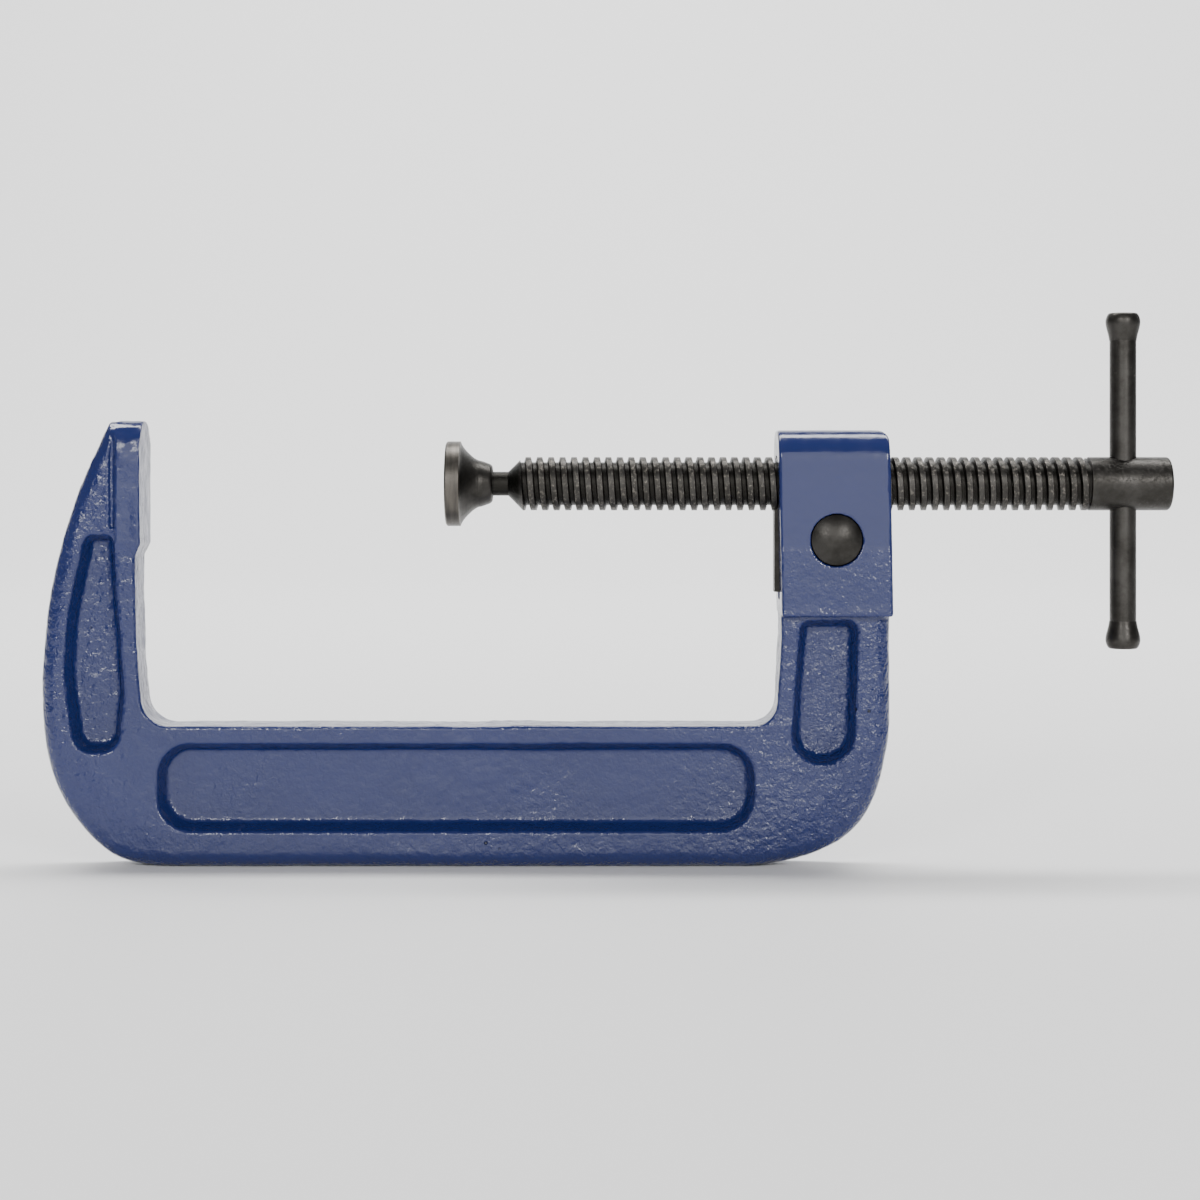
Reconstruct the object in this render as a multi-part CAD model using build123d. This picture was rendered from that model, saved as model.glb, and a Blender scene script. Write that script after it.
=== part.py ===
from build123d import *
import os
from math import radians, tan

# A 150 mm quick-release C clamp, in millimetres. X runs along the screw, from the anvil to the
# handle; Z is up, away from the spine; Y is across the casting, with the release button on the
# -Y side. The origin is the point of the anvil's face on the screw's axis.

# --- the casting: two arms and a spine, with sunk panels on both sides ---
FLANGE_HALF = 7.0  # half the thickness of the flanges, across Y
WEB_HALF = 1.7  # half the thickness of the web between the sunk panels
PANEL_TAPER = 21.0  # degrees of draft on the panels' walls
OUTER_ROUND = 4.4  # rounding of the casting's outer edges
INNER_ROUND = 0.8  # rounding of the edges round the throat
FLOOR_ROUND = 1.4  # rounding along the panels' floors
MOUTH_ROUND = 0.9  # and along their mouths
SPINE_TOP_Z = -62.8
SPINE_BOTTOM_Z = -99.6
ARM_FACE_X = -1.4  # the left arm's inner face, behind the anvil's face

# Outline of the side view. Each stretch is a smooth curve through a few points.
OUTER_LEFT = [
    (-8.4, 16.0), (-13.2, 6.2), (-20.8, -14.8), (-25.2, -37.0),
    (-25.9, -60.0), (-21.6, -80.3), (-9.6, -95.3), (14.0, SPINE_BOTTOM_Z),
]
HORN_SLOPE = (-0.42, -0.9)  # direction of the outline as it leaves the horn's tip
OUTER_RIGHT = [
    (154.0, SPINE_BOTTOM_Z), (174.0, -96.5), (187.9, -87.0), (193.3, -72.0), (194.7, -40.0),
]
# The throat's outline has straight stretches, whose corners have their own radii.
THROAT = [
    ((166.3, -40.0), 12.0), ((164.8, SPINE_TOP_Z), 6.2), ((0.7, SPINE_TOP_Z), 7.5),
    ((-0.8, -46.0), 30.0), ((ARM_FACE_X, -28.0), 30.0),
]

# Mouths of the sunk panels: corner points, each with its rounding.
LEFT_PANEL = [
    ((-14.5, -13.0), 3.0), ((-7.0, -13.0), 2.4), ((-3.9, -54.0), 12.0),
    ((-5.6, -69.8), 5.4), ((-17.2, -69.8), 5.6), ((-20.0, -50.0), 55.0), ((-18.9, -33.0), 70.0),
]
SPINE_PANEL = [
    ((4.3, -67.3), 8.5), ((159.4, -67.3), 8.5), ((159.4, -90.2), 9.0), ((4.3, -90.2), 9.0),
]
RIGHT_PANEL = [
    ((171.0, -35.2), 3.0), ((186.4, -35.2), 3.0), ((185.4, -72.7), 8.3), ((168.4, -72.7), 7.6),
]

# --- the anvil, a rounded block at the top of the left arm ---
ANVIL_HALF = 7.8  # half its thickness, across Y
ANVIL_TOP_Z = 16.4
ANVIL_FOOT_Z = -15.6  # the full block ends here
ANVIL_RETURN_Z = -18.6  # and slopes back into the arm by here
ANVIL_BACK_X = -6.4
GROOVE_WIDTH = 1.9  # valley between the horn and the block
GROOVE_DEPTH = 1.0
GROOVE_FOOT_Z = -11.5

# --- the head, a thick block that carries the screw ---
HEAD_TOP_Z = 14.0
HEAD_FOOT_Z = -34.2
HEAD_HALF_TOP = 10.3  # half its thickness at the top and at the foot
HEAD_HALF_FOOT = 10.9
HEAD_CROWN = 8.0  # rounding of the head's top edges along the screw
HEAD_LEFT_X = (165.3, 166.2)  # left side at the top and at the foot
HEAD_RIGHT_X = (194.1, 194.9)
HEAD_CORNER = 2.9
ARM_IN_HEAD = 8.0  # how far the right arm runs up inside the head
HEAD_EDGE = 0.7
BORE_R = 7.3

# --- the screw: a trapezoidal thread, 14 mm across with a 3 mm pitch, right-handed ---
PITCH = 3.0
CREST_R = 7.0
ROOT_R = 5.63
RIDGE_FOOT_R = 5.33  # the ridge starts inside the core, so that they join
CREST_WIDTH = 1.35
FLANK = tan(radians(15.0))  # how much a flank widens the thread for each millimetre of depth
CREST_X = 94.4  # where a crest's middle meets the +Z side
THREAD_END_X = 246.6
BOSS_X = (247.1, 268.2)
BOSS_ROUND = 0.8
NECK_R = 3.15
NECK_END_X = 95.2  # a 45 degree cone runs from here out to the crest
BALL_X = 85.6
BALL_R = 4.0

# --- the swivel pad on the screw's ball, and the ring that keeps the ball in it ---
PAD_FACE_X = 79.0
PAD_R = 11.1
PAD_EDGE = 0.4  # bevel round the pad's face
PAD_RIM_X = 82.7
PAD_END_X = 91.1
PAD_FLARE = [(85.0, 7.9), (87.6, 6.1), (89.6, 5.5), (PAD_END_X, 4.4)]  # (X, radius) behind the rim
SOCKET_GAP = 0.06
LIP_R = 3.83
RING_X = (88.35, 89.25)
RING_R = (3.2, 4.2)
RING_SPLIT = 1.2
RING_SEAT_X = (87.75, 89.85)  # groove in the pad, wide enough for the pad to tilt round the ring
RING_SEAT_R = 4.65

# --- the tommy bar through the screw's boss, with a knob pressed on each end ---
BAR_X = 256.2
BAR_R = 3.45
BAR_HOLE_R = 3.5
BAR_Z = (-43.15, 44.7)  # ends of the bar with its knobs
KNOB_LENGTH = 7.2
KNOB_R = 4.5
KNOB_FOOT_R = 3.55
KNOB_END_R = 3.4
KNOB_CURVE = [(4.25, 3.2), (KNOB_R, 4.9), (4.2, 6.3)]  # (radius, height) between foot and end
KNOB_WALL = 1.0  # left beyond the spigot's blind hole
SPIGOT_R = 2.4

# --- quick release: a half nut in a slot, moved by a ramp on a sprung push button ---
SLOT_HALF = 2.85
SLOT_FOOT_Z = -29.7
SLOT_END_X = 189.9
NUT_HALF = 2.75
NUT_X = (164.7, 189.8)
NUT_Z = (-28.2, -5.0)
NUT_TIP_R = 5.9  # inner radius of the half nut's teeth
NUT_SIDE_GAP = 0.15  # gap at each flank of the thread
NUT_CREST_GAP = 0.25
BUTTON_X = 180.3
BUTTON_Z = -14.4
CAP_R = 6.5
CAP_GAP = 0.1
CAP_Y = (-10.5, -8.8)  # edge of the dome, underside of the cap
DOME_RISE = 1.8
CAP_SEAT_Y = -4.6  # floor of the counterbore for the cap
SHANK_R = 4.75
SHANK_GAP = 0.05
SHANK_END_Y = 4.9
SHANK_BORE_END_Y = 9.1  # the button's bore is blind: the casting's far side stays whole
RAMP_SLOPE = 0.35
RAMP_Y = (-6.95, 2.95)
RAMP_HIGH = 4.0  # the ramp's high end, above the button's axis
WINDOW_GAP = 0.25
SPRING_POCKET_R = 2.5
SPRING_POCKET_Y = 1.0
SPRING_R = 2.05  # to the middle of the wire
SPRING_WIRE_R = 0.25
SPRING_TURNS = 5
SPRING_END_GAP = 0.1

ACROSS_X = Plane(origin=(0, 0, 0), x_dir=(0, 1, 0), z_dir=(1, 0, 0))  # sketches across the screw
FAR = 40.0  # reaches well past the casting, for cutters


def block(x, y, z):
    """A box from its low and high X, Y and Z."""
    size = [high - low for low, high in (x, y, z)]
    middle = [(low + high) / 2 for low, high in (x, y, z)]
    return Pos(*middle) * Box(*size)


def side_view(outline, half):
    """A side-view face made into a plate, as thick as half to each side."""
    return extrude(Plane.XZ * outline, amount=half, both=True)


def turned_x(points):
    """A solid of revolution round the screw's axis, from (X, radius) points."""
    return revolve(make_face(Polyline(*points, close=True)), axis=Axis.X)


def rod_x(radius, start, end):
    """A cylinder on the screw's axis."""
    return Pos((start + end) / 2, 0, 0) * Rot(0, 90, 0) * Cylinder(radius, end - start)


def rod_y(radius, start, end):
    """A cylinder on the button's axis, which runs along Y."""
    return Pos(BUTTON_X, (start + end) / 2, BUTTON_Z) * Rot(90, 0, 0) * Cylinder(radius, end - start)


def rounded_polygon(corners):
    """A face with straight sides, whose corners have their own radii."""
    outline = make_face(Polyline(*[point for point, _ in corners], close=True))
    for (x, y), radius in corners:
        nearest = min(outline.vertices(), key=lambda corner: (Vector(corner) - Vector(x, y)).length)
        if radius:
            outline = fillet(nearest, radius)
    return outline


def thread_ridge(radii, widths, first_x, turns):
    """The ridge of a right-handed thread round the screw's axis: a buried foot and a crest."""
    edges = []
    for radius, width, side in zip(radii + radii[::-1], widths + widths[::-1], (-1, -1, 1, 1)):
        helix = Edge.make_helix(pitch=PITCH, height=PITCH * turns, radius=radius)
        edges.append(helix.moved(Location((0, 0, side * width / 2))))
    faces = [Face.make_surface_from_curves(a, b) for a, b in zip(edges, edges[1:] + edges[:1])]
    for end in (0, 1):
        faces.append(Face(Wire.make_polygon([edge @ end for edge in edges], close=True)))
    # the helix climbs Z from the +X side; laid along X, it starts on the +Z side
    return Pos(first_x, 0, 0) * Rot(0, 90, 0) * Rot(0, 0, 180) * Solid(Shell(faces))


# --- the casting ---


def blank():
    """Arms and spine at the flanges' thickness, with the outer edges well rounded."""
    right_x, right_top = OUTER_RIGHT[-1][0], HEAD_FOOT_Z + ARM_IN_HEAD
    corners = [point for point, _ in THROAT]
    throat_ends = (corners[0][0], right_top), (ARM_FACE_X, OUTER_LEFT[0][1])
    radii = [radius for _, radius in THROAT]
    throat = FilletPolyline(throat_ends[0], *corners, throat_ends[1], radius=radii)
    outer = [
        Spline(*OUTER_LEFT, tangents=(HORN_SLOPE, (1, 0))),
        Line(OUTER_LEFT[-1], OUTER_RIGHT[0]),
        Spline(*OUTER_RIGHT, tangents=((1, 0), (0, 1))),
    ]
    right_end = Polyline(OUTER_RIGHT[-1], (right_x, right_top), throat_ends[0])
    plate = side_view(
        make_face([*outer, right_end, throat, Line(throat_ends[1], OUTER_LEFT[0])]), FLANGE_HALF
    )
    for curves, radius in ((throat.edges(), INNER_ROUND), (outer, OUTER_ROUND)):
        plate = fillet(rims_along(plate, curves), radius)
    crown = block((-FAR, 1), (-FAR, FAR), (ANVIL_TOP_Z - ANVIL_HALF, FAR))
    crown -= Pos(0, 0, ANVIL_TOP_Z - ANVIL_HALF) * rod_x(ANVIL_HALF, -FAR - 1, 2)
    return plate - crown


def rims_along(plate, curves):
    """The plate's edges, on both sides, that follow these curves of its outline."""
    middles = [curve @ 0.5 for curve in curves]
    found = []
    for edge in plate.edges():
        middle = edge @ 0.5
        on_side = abs(abs(middle.Y) - FLANGE_HALF) < 0.01
        if on_side and min((Vector(middle.X, middle.Z) - m).length for m in middles) < 0.5:
            found.append(edge)
    return found


def panel_cutters(corners):
    """The sunk panel on each side: drafted walls, with a soft edge round the floor."""
    depth = FLANGE_HALF - WEB_HALF
    mouth = Plane.XZ.offset(-FLANGE_HALF) * rounded_polygon(corners)
    cutter = extrude(mouth, amount=depth, taper=PANEL_TAPER)
    floor = cutter.faces().sort_by(Axis.Y)[0]
    cutter = fillet(floor.edges(), FLOOR_ROUND)
    return [cutter, mirror(cutter, about=Plane.XZ)]


def mouth_rims(casting, corners):
    """The casting's flat edges round a panel's mouth, on both sides."""
    x_values = [x for (x, _), _ in corners]
    z_values = [z for (_, z), _ in corners]
    slack = FLOOR_ROUND / 4
    rims = []
    for edge in casting.edges():
        box = edge.bounding_box()
        on_side = abs(abs(box.min.Y) - FLANGE_HALF) < 0.01 and box.size.Y < 0.01
        in_x = box.min.X > min(x_values) - slack and box.max.X < max(x_values) + slack
        in_z = box.min.Z > min(z_values) - slack and box.max.Z < max(z_values) + slack
        if on_side and in_x and in_z:
            rims.append(edge)
    return rims


def anvil():
    """The block behind the anvil's face: round on top, sloped back into the arm at its foot."""
    middle_z = ANVIL_TOP_Z - ANVIL_HALF
    body = block((ANVIL_BACK_X, 0), (-ANVIL_HALF, ANVIL_HALF), (ANVIL_FOOT_Z, middle_z))
    body += Pos(0, 0, middle_z) * rod_x(ANVIL_HALF, ANVIL_BACK_X, 0)
    foot_width = ARM_FACE_X - ANVIL_BACK_X
    top = Pos(ANVIL_BACK_X / 2, 0, ANVIL_FOOT_Z) * Rectangle(-ANVIL_BACK_X, 2 * ANVIL_HALF)
    foot_x = ANVIL_BACK_X + foot_width / 2
    foot = Pos(foot_x, 0, ANVIL_RETURN_Z) * Rectangle(foot_width, 2 * FLANGE_HALF)
    return body + loft([foot, top])


def head():
    """The block that carries the screw: drafted sides, a crowned top and slightly leaning ends."""
    section = rounded_polygon([
        ((-HEAD_HALF_FOOT, HEAD_FOOT_Z), 0), ((HEAD_HALF_FOOT, HEAD_FOOT_Z), 0),
        ((HEAD_HALF_TOP, HEAD_TOP_Z), HEAD_CROWN), ((-HEAD_HALF_TOP, HEAD_TOP_Z), HEAD_CROWN),
    ])
    corners = [
        (HEAD_LEFT_X[1], HEAD_FOOT_Z), (HEAD_RIGHT_X[1], HEAD_FOOT_Z),
        (HEAD_RIGHT_X[0], HEAD_TOP_Z), (HEAD_LEFT_X[0], HEAD_TOP_Z),
    ]
    sharp, soft = (
        rounded_polygon([(corner, r) for corner, r in zip(corners, (0, 0, radius, 0))])
        for radius in (0, HEAD_CORNER)
    )
    bar = extrude(ACROSS_X.offset(HEAD_LEFT_X[0] - 1) * section, amount=FAR)
    solid = bar & side_view(sharp, FAR)
    solid = fillet(solid.edges(), HEAD_EDGE)
    # the last corner is cut after the edges are softened
    outside = Pos(HEAD_RIGHT_X[0], HEAD_TOP_Z) * Rectangle(2 * HEAD_CORNER, 2 * HEAD_CORNER)
    return solid - side_view(outside - soft, FAR)


def frame():
    """The casting, with its bore, the half nut's slot and the button's stepped blind bore."""
    casting = blank()
    for corners in (LEFT_PANEL, SPINE_PANEL, RIGHT_PANEL):
        for cutter in panel_cutters(corners):
            casting -= cutter
        casting = fillet(mouth_rims(casting, corners), MOUTH_ROUND)
    groove_x = ANVIL_BACK_X - GROOVE_WIDTH / 2
    for side in (-1, 1):
        face_y = side * (FLANGE_HALF + 0.01)
        vee = [
            (groove_x - GROOVE_WIDTH / 2, face_y),
            (groove_x, side * (FLANGE_HALF - GROOVE_DEPTH)),
            (groove_x + GROOVE_WIDTH / 2, face_y),
        ]
        outline = make_face(Polyline(*vee, close=True))
        casting -= extrude(Plane.XY.offset(GROOVE_FOOT_Z) * outline, amount=FAR)
    casting += anvil()
    casting += head()
    left, right = HEAD_LEFT_X[0] - 2, HEAD_RIGHT_X[1] + 2
    casting -= rod_x(BORE_R, left, right)
    casting -= block((left, SLOT_END_X), (-SLOT_HALF, SLOT_HALF), (SLOT_FOOT_Z, 0))
    casting -= rod_y(CAP_R + CAP_GAP, -FAR, CAP_SEAT_Y)
    casting -= rod_y(SHANK_R + SHANK_GAP, CAP_SEAT_Y - 1, SHANK_BORE_END_Y)
    return casting


# --- the screw and what turns or tilts on it ---


def thread_radii_and_widths(side_gap=0.0, crest_gap=0.0, foot_radius=RIDGE_FOOT_R):
    """The ridge's radii and widths at its foot and crest, widened by these gaps."""
    radii = [foot_radius, CREST_R + crest_gap]
    widths = [CREST_WIDTH + 2 * (side_gap + FLANK * (CREST_R - radius)) for radius in radii]
    return radii, widths


def screw():
    """Ball, neck, thread and boss in one piece, with the tommy bar's cross hole."""
    radii, widths = thread_radii_and_widths()
    turns = int((BOSS_X[0] - CREST_X) / PITCH) + 1
    ridge = thread_ridge(radii, widths, CREST_X, turns)
    outside_r = CREST_R + 1
    body = rod_x(ROOT_R, CREST_X - PITCH, BOSS_X[1]) + ridge
    # the thread starts on a 45 degree cone and runs out into a plain relief beside the boss
    body -= turned_x([
        (CREST_X - 2 * PITCH, 0), (NECK_END_X, 0), (NECK_END_X, NECK_R),
        (NECK_END_X + outside_r - NECK_R, outside_r), (CREST_X - 2 * PITCH, outside_r),
    ])
    body -= rod_x(outside_r, THREAD_END_X, BOSS_X[1] + 1)
    boss = rod_x(CREST_R, *BOSS_X)
    boss = fillet(boss.edges().filter_by(GeomType.CIRCLE).group_by(Axis.X)[-1], BOSS_ROUND)
    body += [
        Pos(BALL_X, 0, 0) * Sphere(BALL_R),
        rod_x(NECK_R, BALL_X, NECK_END_X + PITCH),
        rod_x(ROOT_R, THREAD_END_X - PITCH, BOSS_X[0] + 1),
        boss,
    ]
    return body - Pos(BAR_X, 0, 0) * Cylinder(BAR_HOLE_R, 4 * CREST_R)


def swivel_pad():
    """The round pad, with a socket for the ball and a seat for the ring."""
    outline = make_face([
        Polyline(
            (PAD_FACE_X, 0), (PAD_FACE_X, PAD_R - PAD_EDGE), (PAD_FACE_X + PAD_EDGE, PAD_R),
            (PAD_RIM_X, PAD_R),
        ),
        Spline((PAD_RIM_X, PAD_R), *PAD_FLARE[:2], tangents=((0.35, -1), (1, -0.35))),
        Spline(*PAD_FLARE[1:], tangents=((1, -0.1), (0.3, -1))),
        Polyline(PAD_FLARE[-1], (PAD_END_X, 0), (PAD_FACE_X, 0)),
    ])
    pad = revolve(outline, axis=Axis.X)
    socket_r = BALL_R + SOCKET_GAP
    pad -= Pos(BALL_X, 0, 0) * Sphere(socket_r)
    pad -= rod_x(socket_r, BALL_X, RING_SEAT_X[1])
    pad -= rod_x(RING_SEAT_R, *RING_SEAT_X)
    return pad - rod_x(LIP_R, BALL_X, PAD_END_X + 1)


def pad_ring():
    """The split ring round the screw's neck."""
    inner, outer = RING_R
    ring = rod_x(outer, *RING_X) - rod_x(inner, RING_X[0] - 1, RING_X[1] + 1)
    return ring - block((RING_X[0] - 1, RING_X[1] + 1), (-RING_SPLIT / 2, RING_SPLIT / 2), (0, FAR))


def knob_profile():
    """Outline of a knob from its neck, at height 0, to its flat end."""
    hole = KNOB_LENGTH - KNOB_WALL
    return make_face([
        Line((SPIGOT_R, 0), (KNOB_FOOT_R, 0)),
        Spline(
            (KNOB_FOOT_R, 0), *KNOB_CURVE, (KNOB_END_R, KNOB_LENGTH), tangents=((0.1, 1), (-1, 0.15))
        ),
        Polyline(
            (KNOB_END_R, KNOB_LENGTH), (0, KNOB_LENGTH), (0, hole), (SPIGOT_R, hole), (SPIGOT_R, 0)
        ),
    ])


def bar_knobs():
    """The upper and the lower knob, each with a blind hole for the bar's spigot."""
    knob = revolve(Plane.XZ * knob_profile(), axis=Axis.Z)
    upper = Pos(BAR_X, 0, BAR_Z[1] - KNOB_LENGTH) * knob
    lower = Pos(BAR_X, 0, BAR_Z[0] + KNOB_LENGTH) * Rot(180, 0, 0) * knob
    return upper, lower


def tommy_bar():
    """The plain bar, turned down at both ends for the knobs."""
    low, high = BAR_Z[0] + KNOB_LENGTH, BAR_Z[1] - KNOB_LENGTH
    spigot = KNOB_LENGTH - KNOB_WALL
    bar = Pos(BAR_X, 0, (low + high) / 2) * Cylinder(BAR_R, high - low)
    return bar + Pos(BAR_X, 0, (low + high) / 2) * Cylinder(SPIGOT_R, high - low + 2 * spigot)


# --- the quick release ---


def ramp_z(y):
    """Height of the ramp's face at rest."""
    return BUTTON_Z + RAMP_HIGH + RAMP_SLOPE * (y - RAMP_Y[1])


def half_nut():
    """A plate with thread teeth on its upper edge, and a sloped window for the button's ramp."""
    plate = block(NUT_X, (-NUT_HALF, NUT_HALF), NUT_Z)
    radii, widths = thread_radii_and_widths(NUT_SIDE_GAP, NUT_CREST_GAP)
    skipped = int((NUT_X[0] - CREST_X) / PITCH) - 1
    turns = int((NUT_X[1] - NUT_X[0]) / PITCH) + 4
    # the thread is cut by a tap, a core and its ridge in one, which leaves whole teeth
    first_x = CREST_X + skipped * PITCH
    tap = rod_x(NUT_TIP_R, first_x - PITCH, first_x + (turns + 1) * PITCH)
    plate -= tap + thread_ridge(radii, widths, first_x, turns)
    half_width = SHANK_R + WINDOW_GAP
    foot_z = BUTTON_Z - half_width
    low_y, high_y = RAMP_Y
    window = make_face(
        Polyline(
            (low_y, foot_z), (high_y, foot_z), (high_y, ramp_z(high_y) + SHANK_GAP),
            (low_y, ramp_z(low_y) + SHANK_GAP), close=True,
        )
    )
    window_plane = ACROSS_X.offset(BUTTON_X - half_width)
    return plate - extrude(window_plane * window, amount=2 * half_width)


def release_button():
    """Domed cap, and a shank with the ramp on top and a pocket for the spring in its end."""
    edge_y, under_y = CAP_Y
    dome_r = (CAP_R**2 + DOME_RISE**2) / (2 * DOME_RISE)
    dome = Pos(BUTTON_X, edge_y - DOME_RISE + dome_r, BUTTON_Z) * Sphere(dome_r)
    cap = rod_y(CAP_R, edge_y - DOME_RISE - 1, under_y) & dome
    low_y, high_y = RAMP_Y
    cut = make_face(
        Polyline(
            (low_y, ramp_z(low_y)), (high_y, ramp_z(high_y)), (high_y, BUTTON_Z + CAP_R),
            (low_y, BUTTON_Z + CAP_R), close=True,
        )
    )
    ramp = extrude(ACROSS_X.offset(BUTTON_X - CAP_R) * cut, amount=2 * CAP_R)
    shank = rod_y(SHANK_R, under_y, SHANK_END_Y) - ramp
    return cap + shank - rod_y(SPRING_POCKET_R, SPRING_POCKET_Y, SHANK_END_Y + 1)


def button_spring():
    """The return spring, from the shank's pocket to the end of the blind bore."""
    free = SHANK_BORE_END_Y - SPRING_POCKET_Y - SPRING_END_GAP
    height = free - 2 * SPRING_WIRE_R - SPRING_END_GAP
    path = Edge.make_helix(pitch=height / SPRING_TURNS, height=height, radius=SPRING_R)
    start = Plane(origin=path @ 0, z_dir=path % 0)
    coil = sweep(start * Circle(SPRING_WIRE_R), path=path)
    first_y = SPRING_POCKET_Y + SPRING_WIRE_R + SPRING_END_GAP
    return Pos(BUTTON_X, first_y, BUTTON_Z) * Rot(-90, 0, 0) * coil


def main():
    """Write one STEP file for each piece."""
    upper_knob, lower_knob = bar_knobs()
    pieces = {
        "frame": frame(),
        "screw": screw(),
        "swivel_pad": swivel_pad(),
        "pad_ring": pad_ring(),
        "tommy_bar": tommy_bar(),
        "bar_knob_upper": upper_knob,
        "bar_knob_lower": lower_knob,
        "half_nut": half_nut(),
        "release_button": release_button(),
        "button_spring": button_spring(),
    }
    os.makedirs("parts", exist_ok=True)
    for name, piece in pieces.items():
        export_step(piece, f"parts/{name}.step")


main()
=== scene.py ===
import bpy
import math
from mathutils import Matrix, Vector, noise
from mathutils.bvhtree import BVHTree


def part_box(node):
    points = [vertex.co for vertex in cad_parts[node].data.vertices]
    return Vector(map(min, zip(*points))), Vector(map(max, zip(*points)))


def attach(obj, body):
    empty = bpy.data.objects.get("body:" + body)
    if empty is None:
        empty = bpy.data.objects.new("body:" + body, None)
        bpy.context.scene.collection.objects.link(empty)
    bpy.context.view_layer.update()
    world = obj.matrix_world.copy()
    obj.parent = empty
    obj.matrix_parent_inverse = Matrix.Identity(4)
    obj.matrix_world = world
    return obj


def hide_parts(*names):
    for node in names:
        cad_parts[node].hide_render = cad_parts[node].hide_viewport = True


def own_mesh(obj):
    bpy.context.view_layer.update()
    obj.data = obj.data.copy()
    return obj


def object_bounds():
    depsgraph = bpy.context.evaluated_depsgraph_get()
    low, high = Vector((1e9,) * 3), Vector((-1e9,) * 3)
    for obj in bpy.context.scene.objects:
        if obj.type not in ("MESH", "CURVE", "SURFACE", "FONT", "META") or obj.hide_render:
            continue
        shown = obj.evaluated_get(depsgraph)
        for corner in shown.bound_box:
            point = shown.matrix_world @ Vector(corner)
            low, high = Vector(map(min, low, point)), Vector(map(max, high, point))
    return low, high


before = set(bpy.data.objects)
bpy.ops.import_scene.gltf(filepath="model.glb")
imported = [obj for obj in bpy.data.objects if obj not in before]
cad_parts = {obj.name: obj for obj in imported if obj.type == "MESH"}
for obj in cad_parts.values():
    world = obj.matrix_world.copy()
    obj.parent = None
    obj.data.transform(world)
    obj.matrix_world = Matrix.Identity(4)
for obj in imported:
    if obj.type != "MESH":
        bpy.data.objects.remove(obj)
cad_low, cad_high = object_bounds()

# Metres. The frame's origin is the point of the anvil's face on the screw's axis: X runs along the
# screw to the handle, Z is up, and the button is on the -Y side.
SCREW_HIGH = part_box("screw")[1]
NUT_LOW, NUT_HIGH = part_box("half_nut")
NUT_MIDDLE_X = (NUT_LOW.x + NUT_HIGH.x) / 2
BUTTON_LOW, BUTTON_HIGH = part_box("release_button")
CREST_R = SCREW_HIGH.z  # radius of the thread's crests
PAD_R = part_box("swivel_pad")[1].z
BORE_GAP = 0.0003
BORE_R = CREST_R + BORE_GAP
CAP_R = (BUTTON_HIGH.x - BUTTON_LOW.x) / 2
BOSS_LENGTH = 0.0211  # plain end of the screw, which the tommy bar goes through
HEAD_HALF = 0.022  # from the half nut's middle to just past the head's sides, along X
HEAD_FOOT_Z = NUT_LOW.z - 0.006
ANVIL_FOOT_Z = -0.0156
ANVIL_SMOOTH_X = -0.0060  # the anvil's block is smoother from here to its face

# --- camera: level and square to the clamp, framed by shift ---
CAMERA_AT = (0.12235, -0.6288, 0.0083)
LENS = 72.0
SENSOR = 36.0
SHIFT = (-0.010, -0.1233)
CLIP = (0.01, 20.0)

# --- the casting's mesh and the relief of its skin: (waves in a metre, height, seed) ---
VOXEL = 0.0005
SKIN = ((65, 0.00018, (0, 0, 0)), (190, 0.00014, (7, 0, 0)), (560, 0.00008, (0, 7, 0)))
HEAD_SKIN = 0.3  # the head is dressed smoother
# Elsewhere the skin's strength wanders between these, in patches of so many waves in a metre.
SKIN_LEAST = 0.55
SKIN_MORE = 0.9
PATCH_WAVES = 16
PATCH_SEED = (3, 1, 5)
PATCH_EDGES = (-0.25, 0.45)
FIT_FADE = 0.0012  # the skin dies out this far from a machined fit
CAP_CLEAR = 0.0003  # bare ring round the button before the skin begins
FLANGE_HALF = 0.007
# The slot and the button's bore, in the CAD. The visual casting opens them and the screw's bore a
# little wider, because its remeshed corners would otherwise touch what moves in them.
SLOT_HALF = 0.00285
SLOT_UNDER_NUT = 0.0015
SLOT_BESIDE_NUT = 0.0001
SLOT_FOOT_Z = NUT_LOW.z - SLOT_UNDER_NUT
SLOT_END_X = NUT_HIGH.x + SLOT_BESIDE_NUT
PAST_SPRING = 0.0003  # from the spring's seat to where the outside of the head may begin
BUTTON_BORE_END_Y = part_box("button_spring")[1].y + PAST_SPRING
FAR_FROM_BUTTON = 0.022
CAP_GAP = 0.0001
ON_FIT = 0.00005  # a point this close to a fit's wall is on it
FIT_RELIEF = 0.0003
CORNER_RELIEF = 3 * FIT_RELIEF  # at the slot's foot and end, whose corners the half nut drops by
# The casting's two bottom corners fall away more softly than its other edges: (centre X, centre Z,
# radius of the outline, side)
SOFT_CORNERS = ((0.0125, -0.062, 0.0385, -1), (0.158, -0.063, 0.037, 1))
CORNER_FALL = 0.0011
CORNER_BAND = 0.013

# --- the stage: a floor that sweeps up into a back wall ---
FLOOR_REACH = 1.4
FLOOR_FRONT = 4.0
SWEEP_R = 0.9
SWEEP_STEPS = 16
WALL_TOP = 2.4
STAGE_HALF = 3.0
FLOOR_COLOUR = (0.85, 0.85, 0.85, 1)
FLOOR_ROUGHNESS = 0.6
WORLD_LIGHT = 0.22
# name, place, aim, width, height, watts
LIGHTS = (
    ("front", (0.12, -1.5, 0.32), (0.12, 0, -0.05), 1.25, 1.1, 8.3),
    ("glint_right", (0.75, -1.3, 0.45), (0.14, 0, -0.05), 0.25, 0.4, 8),
    ("glint_left", (-0.45, -1.3, 0.5), (0.1, 0, -0.05), 0.25, 0.4, 6),
    ("wall", (0.12, 0.6, 1.9), (0.12, 1.8, 0.1), 2.6, 0.9, 110),
)

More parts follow.
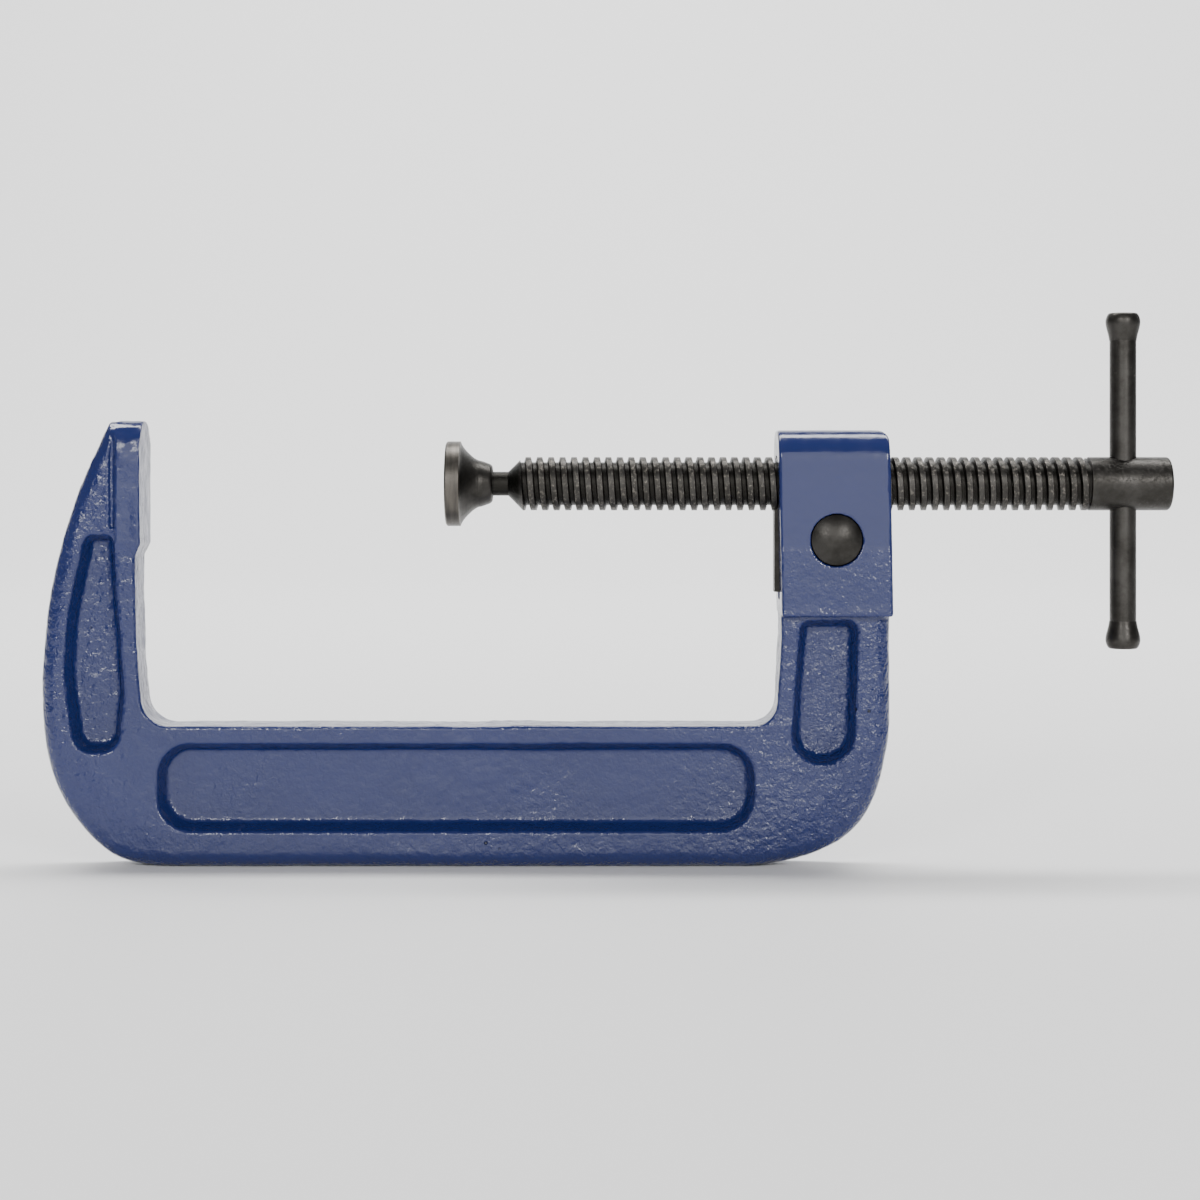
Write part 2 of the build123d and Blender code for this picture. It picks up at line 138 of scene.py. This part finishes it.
# --- colours, and the strengths that go with them ---
ENAMEL_DEEP = (0.0080, 0.0155, 0.082, 1)
ENAMEL_LIGHT = (0.0108, 0.0200, 0.103, 1)
PIT_COLOUR = (0.005, 0.008, 0.025, 1)
ROUGHENS_FROM_X = 0.125  # the casting's skin grows rougher from here towards the head
OXIDE_DARK = (0.034, 0.032, 0.029)
OXIDE_THIN = (0.060, 0.057, 0.053)
# painted shade: the darker colour painted into the thread's root
THREAD_ROOT_SHADE = (0.020, 0.019, 0.017, 1)
CREST_STEEL = (0.22, 0.20, 0.175, 1)
RIM_STEEL = (0.115, 0.105, 0.092, 1)
SCUFF_STEEL = (0.20, 0.185, 0.165, 1)
SPRING_BRIGHT = 4.0
BUTTON_BRIGHT = 0.8


def link(name, data):
    """A new object in the scene."""
    obj = bpy.data.objects.new(name, data)
    bpy.context.scene.collection.objects.link(obj)
    return obj


def camera():
    data = bpy.data.cameras.new("camera")
    data.lens = LENS
    data.sensor_width = SENSOR
    data.shift_x, data.shift_y = SHIFT
    data.clip_start, data.clip_end = CLIP
    cam = link("camera", data)
    cam.location = CAMERA_AT
    cam.rotation_euler = (math.radians(90), 0, 0)
    bpy.context.scene.camera = cam


def stage():
    """A pale floor and back wall in one sweep."""
    profile = [(-FLOOR_FRONT, 0.0), (FLOOR_REACH, 0.0)]
    for i in range(1, SWEEP_STEPS + 1):
        turn = math.pi / 2 * i / SWEEP_STEPS
        profile.append((FLOOR_REACH + SWEEP_R * math.sin(turn), SWEEP_R * (1 - math.cos(turn))))
    profile.append((FLOOR_REACH + SWEEP_R, WALL_TOP))
    middle = (cad_low.x + cad_high.x) / 2
    verts = [(middle + side * STAGE_HALF, y, cad_low.z + z) for y, z in profile for side in (-1, 1)]
    faces = [(2 * i, 2 * i + 1, 2 * i + 3, 2 * i + 2) for i in range(len(profile) - 1)]
    mesh = bpy.data.meshes.new("floor")
    mesh.from_pydata(verts, [], faces)
    mesh.shade_smooth()
    g = Graph("pale_floor")
    mesh.materials.append(g.finish(Base_Color=FLOOR_COLOUR, Roughness=FLOOR_ROUGHNESS))
    link("floor", mesh)


def light():
    """An even, dim surround, a large soft light at the front, two small ones for the glints, and
    one on the back wall."""
    world = bpy.data.worlds.new("studio")
    world.use_nodes = True
    background = world.node_tree.nodes["Background"]
    background.inputs["Color"].default_value = (1, 1, 1, 1)
    background.inputs["Strength"].default_value = WORLD_LIGHT
    bpy.context.scene.world = world
    for name, at, aim, width, height, watts in LIGHTS:
        data = bpy.data.lights.new(name, "AREA")
        data.shape = "RECTANGLE"
        data.size, data.size_y = width, height
        data.energy = watts
        lamp = link(name, data)
        lamp.location = at
        lamp.rotation_euler = (Vector(aim) - Vector(at)).to_track_quat("-Z", "Y").to_euler()


# --- materials ---


class Graph:
    """A material's node tree, with short calls for the nodes it is made from."""

    def __init__(self, name):
        self.material = bpy.data.materials.new(name)
        self.material.use_nodes = True
        self.tree = self.material.node_tree
        self.tree.nodes.clear()
        output = self.add("ShaderNodeOutputMaterial")
        self.shader = self.add("ShaderNodeBsdfPrincipled")
        self.tree.links.new(self.shader.outputs[0], output.inputs[0])
        self.space = self.add("ShaderNodeTexCoord").outputs["Object"]
        split = self.add("ShaderNodeSeparateXYZ")
        self.set(split.inputs[0], self.space)
        self.x, self.y, self.z = split.outputs

    def add(self, kind, **values):
        node = self.tree.nodes.new(kind)
        for key, value in values.items():
            setattr(node, key, value)
        return node

    def set(self, socket, value):
        if isinstance(value, bpy.types.NodeSocket):
            self.tree.links.new(value, socket)
        else:
            socket.default_value = value

    def finish(self, **inputs):
        for key, value in inputs.items():
            self.set(self.shader.inputs[key.replace("_", " ")], value)
        return self.material

    def noise(self, scale, detail=2.0, rough=0.5, space=None, distortion=0.0):
        node = self.add("ShaderNodeTexNoise")
        self.set(node.inputs["Vector"], space or self.space)
        node.inputs["Scale"].default_value = scale
        node.inputs["Detail"].default_value = detail
        node.inputs["Roughness"].default_value = rough
        node.inputs["Distortion"].default_value = distortion
        return node.outputs["Fac"]

    def cells(self, scale):
        node = self.add("ShaderNodeTexVoronoi")
        self.set(node.inputs["Vector"], self.space)
        node.inputs["Scale"].default_value = scale
        return node.outputs["Distance"]

    def math(self, operation, a, b=0.0):
        node = self.add("ShaderNodeMath", operation=operation)
        self.set(node.inputs[0], a)
        self.set(node.inputs[1], b)
        return node.outputs[0]

    def times(self, a, b):
        return self.math("MULTIPLY", a, b)

    def ramp(self, value, low, high, start=0.0, end=1.0):
        node = self.add("ShaderNodeMapRange", interpolation_type="SMOOTHSTEP")
        for socket, given in zip(node.inputs, (value, low, high, start, end)):
            self.set(socket, given)
        return node.outputs[0]

    def mix(self, factor, a, b):
        node = self.add("ShaderNodeMix", data_type="RGBA")
        self.set(node.inputs["Factor"], factor)
        self.set(node.inputs[6], a)
        self.set(node.inputs[7], b)
        return node.outputs[2]

    def stretched(self, x, y, z):
        """Object space scaled along each axis."""
        node = self.add("ShaderNodeMapping")
        self.set(node.inputs["Vector"], self.space)
        node.inputs["Scale"].default_value = (x, y, z)
        return node.outputs[0]

    def screw_radius(self):
        """Distance from the screw's axis."""
        y_squared, z_squared = self.times(self.y, self.y), self.times(self.z, self.z)
        return self.math("SQRT", self.math("ADD", y_squared, z_squared))

    def bump(self, layers):
        """A normal from layers of (height, distance in metres)."""
        normal = None
        for height, distance in layers:
            node = self.add("ShaderNodeBump")
            node.inputs["Distance"].default_value = distance
            self.set(node.inputs["Height"], height)
            if normal:
                self.set(node.inputs["Normal"], normal)
            normal = node.outputs[0]
        return normal


def enamel():
    """Glossy blue enamel over a sand casting: orange peel in patches, and a few pits."""
    g = Graph("blue_enamel")
    patches = g.ramp(g.noise(17, detail=2), 0.40, 0.60, 0.38, 0.80)
    # roughest on the arm below the head, smooth on the head itself from the button up
    to_the_right = g.ramp(g.x, ROUGHENS_FROM_X, NUT_LOW.x)
    below_head = g.ramp(g.z, HEAD_FOOT_Z + 0.004, HEAD_FOOT_Z - 0.004, 0.0, 0.75)
    on_head = g.ramp(g.z, HEAD_FOOT_Z + 0.008, BUTTON_HIGH.z, 0.15, 0.88)
    head_x = g.ramp(g.x, NUT_LOW.x - 0.004, NUT_LOW.x)
    head_or_not = g.times(head_x, g.ramp(g.z, HEAD_FOOT_Z, HEAD_FOOT_Z + 0.003))
    zone = g.math("ADD", patches, g.times(to_the_right, below_head))
    zone = g.times(zone, g.math("SUBTRACT", 1.0, g.times(head_or_not, on_head)))
    anvil_x = g.ramp(g.x, ANVIL_SMOOTH_X - 0.0008, ANVIL_SMOOTH_X)
    on_anvil = g.times(anvil_x, g.ramp(g.z, ANVIL_FOOT_Z - 0.002, ANVIL_FOOT_Z))
    zone = g.times(zone, g.math("SUBTRACT", 1.0, g.times(on_anvil, 0.7)))
    ripple = g.noise(330, detail=2)
    peel = g.noise(820, detail=2, distortion=0.6)
    flecks = g.noise(1500, detail=1)
    pits = g.ramp(g.cells(210), 0.05, 0.13, 1.0, 0.0)
    pit = g.times(pits, g.ramp(g.noise(45, detail=1), 0.60, 0.68))
    tone = g.mix(g.noise(40, detail=3), ENAMEL_DEEP, ENAMEL_LIGHT)
    colour = g.mix(pit, tone, PIT_COLOUR)
    rough = g.ramp(g.noise(300, detail=3), 0.3, 0.7, 0.13, 0.24)
    normal = g.bump((
        (g.times(ripple, zone), 0.00060),
        (g.times(peel, zone), 0.00030),
        (g.times(flecks, zone), 0.00009),
        (g.math("SUBTRACT", 0.0, pit), 0.00025),
    ))
    return g.finish(Base_Color=colour, Roughness=rough, Specular_IOR_Level=0.6, Normal=normal)


def oxided(name, bright=1.0, wear=None):
    """Black-oxided steel: a fine grain, and blotches where the oxide is thin. wear(g, colour) returns
    the colour with the wear on it, for the thread also painted shade in its root, and one more layer
    of bump."""
    g = Graph(name)
    grain = g.noise(2400, detail=3, rough=0.6)
    patch = g.noise(110, detail=5, rough=0.65)
    dark = (*(bright * part for part in OXIDE_DARK), 1)
    thin = (*(bright * part for part in OXIDE_THIN), 1)
    colour = g.mix(g.ramp(patch, 0.35, 0.65), dark, thin)
    rough = g.ramp(grain, 0.2, 0.8, 0.30, 0.48)
    layers = [(grain, 0.000025)]
    if wear:
        colour, layer = wear(g, colour)
        layers.append(layer)
    return g.finish(Base_Color=colour, Roughness=rough, Metallic=1.0, Normal=g.bump(layers))


def scuffed_crests_and_root_shade(g, colour):
    """Bare specks on the thread's crests, and painted shade darkening the thread's root between them.
    """
    thread_end_x = SCREW_HIGH.x - BOSS_LENGTH
    on_thread = g.ramp(g.x, thread_end_x - 0.0006, thread_end_x - 0.0002, 1.0, 0.0)
    radius = g.screw_radius()
    root_shade = g.times(g.ramp(radius, CREST_R - 0.0013, CREST_R - 0.0006, 1.0, 0.0), on_thread)
    crests = g.times(g.ramp(radius, CREST_R - 0.0005, CREST_R - 0.0001), on_thread)
    specks = g.ramp(g.noise(1300, detail=4, rough=0.7), 0.52, 0.66)
    # painted shade: the thread's root is coloured darker, where shade falls in it
    colour = g.mix(root_shade, colour, THREAD_ROOT_SHADE)
    colour = g.mix(g.times(g.times(crests, specks), 0.6), colour, CREST_STEEL)
    return colour, (specks, 0.00003)


def rubbed_rim(g, colour):
    """A turned rim rubbed brighter, with streaks and tool lines round it."""
    streaks = g.noise(900, detail=3, space=g.stretched(1.0, 0.12, 0.12))
    rim = g.ramp(g.screw_radius(), PAD_R - 0.0012, PAD_R - 0.0002)
    colour = g.mix(g.times(rim, g.ramp(streaks, 0.3, 0.7, 0.4, 1.0)), colour, RIM_STEEL)
    return colour, (g.noise(4200, detail=1, space=g.stretched(1.0, 0.03, 0.03)), 0.00003)


def handled(g, colour):
    """Small bare scuffs scattered on a bar that hands and knocks have worn."""
    scuffs = g.ramp(g.noise(700, detail=5, rough=0.75), 0.60, 0.70)
    places = g.ramp(g.noise(75, detail=2), 0.45, 0.62)
    colour = g.mix(g.times(g.times(scuffs, places), 0.5), colour, SCUFF_STEEL)
    return colour, (scuffs, 0.00002)


# --- the casting ---


def smoothstep(value, low, high):
    t = min(max((value - low) / (high - low), 0.0), 1.0)
    return t * t * (3 - 2 * t)


def from_button_axis(point):
    """Distance from the button's axis, or a long way where its blind bore has ended."""
    if point.y > BUTTON_BORE_END_Y:
        return FAR_FROM_BUTTON
    button_x = (BUTTON_LOW.x + BUTTON_HIGH.x) / 2
    button_z = (BUTTON_LOW.z + BUTTON_HIGH.z) / 2
    return math.hypot(point.x - button_x, point.z - button_z)


def beside_slot(point):
    """Whether a point in the head is within the slot's length and height."""
    return point.x < SLOT_END_X + ON_FIT and SLOT_FOOT_Z - ON_FIT < point.z < 0.0


def skin(point):
    """How far the cast skin stands off the true shape, in metres: none in the machined fits."""
    in_head = abs(point.x - NUT_MIDDLE_X) < HEAD_HALF
    mask = smoothstep(from_button_axis(point) - CAP_R, CAP_CLEAR, FIT_FADE)
    if in_head:
        mask *= smoothstep(math.hypot(point.y, point.z) - BORE_R, 0.0, FIT_FADE)
        if beside_slot(point):
            mask *= smoothstep(abs(point.y) - SLOT_HALF, 0.0, FIT_FADE / 2)
    if in_head and point.z > HEAD_FOOT_Z:
        uneven = HEAD_SKIN
    else:
        patch = noise.noise(point * PATCH_WAVES + Vector(PATCH_SEED))
        uneven = SKIN_LEAST + SKIN_MORE * smoothstep(patch, *PATCH_EDGES)
    relief = sum(height * noise.noise(point * waves + Vector(seed)) for waves, height, seed in SKIN)
    return uneven * mask * relief


def fit_relief(point):
    """How far the screw's bore, the slot or the button's bore opens at a point of the CAD surface."""
    if abs(point.x - NUT_MIDDLE_X) > HEAD_HALF:
        return 0.0
    in_button_bore = from_button_axis(point) < CAP_R + CAP_GAP + ON_FIT
    in_bore = math.hypot(point.y, point.z) < BORE_R + ON_FIT
    in_slot = abs(point.y) < SLOT_HALF + ON_FIT and beside_slot(point)
    if in_slot and (point.z < SLOT_FOOT_Z + FIT_RELIEF or point.x > SLOT_END_X - FIT_RELIEF):
        return CORNER_RELIEF
    return FIT_RELIEF if in_button_bore or in_bore or in_slot else 0.0


def corner_fall(point):
    """How far a point moves in towards the casting's middle plane, near its two bottom corners."""
    fall = 0.0
    for x, z, radius, side in SOFT_CORNERS:
        out, down = side * (point.x - x), z - point.z
        in_corner = smoothstep(out, 0.0, radius / 2) * smoothstep(down, 0.0, radius / 2)
        edge = smoothstep(math.hypot(out, down), radius - CORNER_BAND, radius)
        fall = max(fall, CORNER_FALL * in_corner * edge)
    return fall * min(abs(point.y) / FLANGE_HALF, 1.0)


def casting():
    """The frame's shape, remeshed evenly, laid back on the CAD surface and given its cast skin."""
    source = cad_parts["frame"].data
    blank = link("casting_blank", source)
    remesh = blank.modifiers.new("even", "REMESH")
    remesh.mode = "VOXEL"
    remesh.voxel_size = VOXEL
    graph = bpy.context.evaluated_depsgraph_get()
    mesh = bpy.data.meshes.new_from_object(blank.evaluated_get(graph))
    bpy.data.objects.remove(blank)
    true_shape = BVHTree.FromPolygons(
        [vert.co for vert in source.vertices], [face.vertices for face in source.polygons]
    )
    placed = []
    for at, normal in [(vert.co.copy(), vert.normal.copy()) for vert in mesh.vertices]:
        on = true_shape.find_nearest(at)[0]
        relief = fit_relief(on)
        cast = on + normal * (-relief if relief else skin(on))
        cast.y -= math.copysign(corner_fall(on), on.y)
        placed.extend(cast)
    mesh.vertices.foreach_set("co", placed)
    mesh.shade_smooth()
    mesh.materials.clear()
    mesh.materials.append(enamel())
    piece = link("casting", mesh)
    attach(piece, "clamp_frame")
    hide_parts("frame")


def return_spring():
    """The button's spring, with its own mesh and material, fixed to the frame. The real spring
    shortens towards its fixed end as the button goes in; this one keeps its shape.
    """
    piece = link("return_spring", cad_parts["button_spring"].data.copy())
    piece.data.materials.clear()
    piece.data.materials.append(oxided("spring_steel", bright=SPRING_BRIGHT))
    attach(piece, "clamp_frame")
    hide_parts("button_spring")
    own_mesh(piece)


def dress(node, material):
    """Gives a CAD node its material."""
    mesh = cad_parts[node].data
    mesh.materials.clear()
    mesh.materials.append(material)


camera()
stage()
light()
casting()
dress("screw", oxided("oxided_thread", wear=scuffed_crests_and_root_shade))
dress("swivel_pad", oxided("oxided_pad", wear=rubbed_rim))
dress("tommy_bar", oxided("oxided_bar", wear=handled))
dress("release_button", oxided("oxided_button", bright=BUTTON_BRIGHT))
plain_steel = oxided("oxided_steel")
for node in ("bar_knob_upper", "bar_knob_lower", "half_nut", "pad_ring"):
    dress(node, plain_steel)
return_spring()
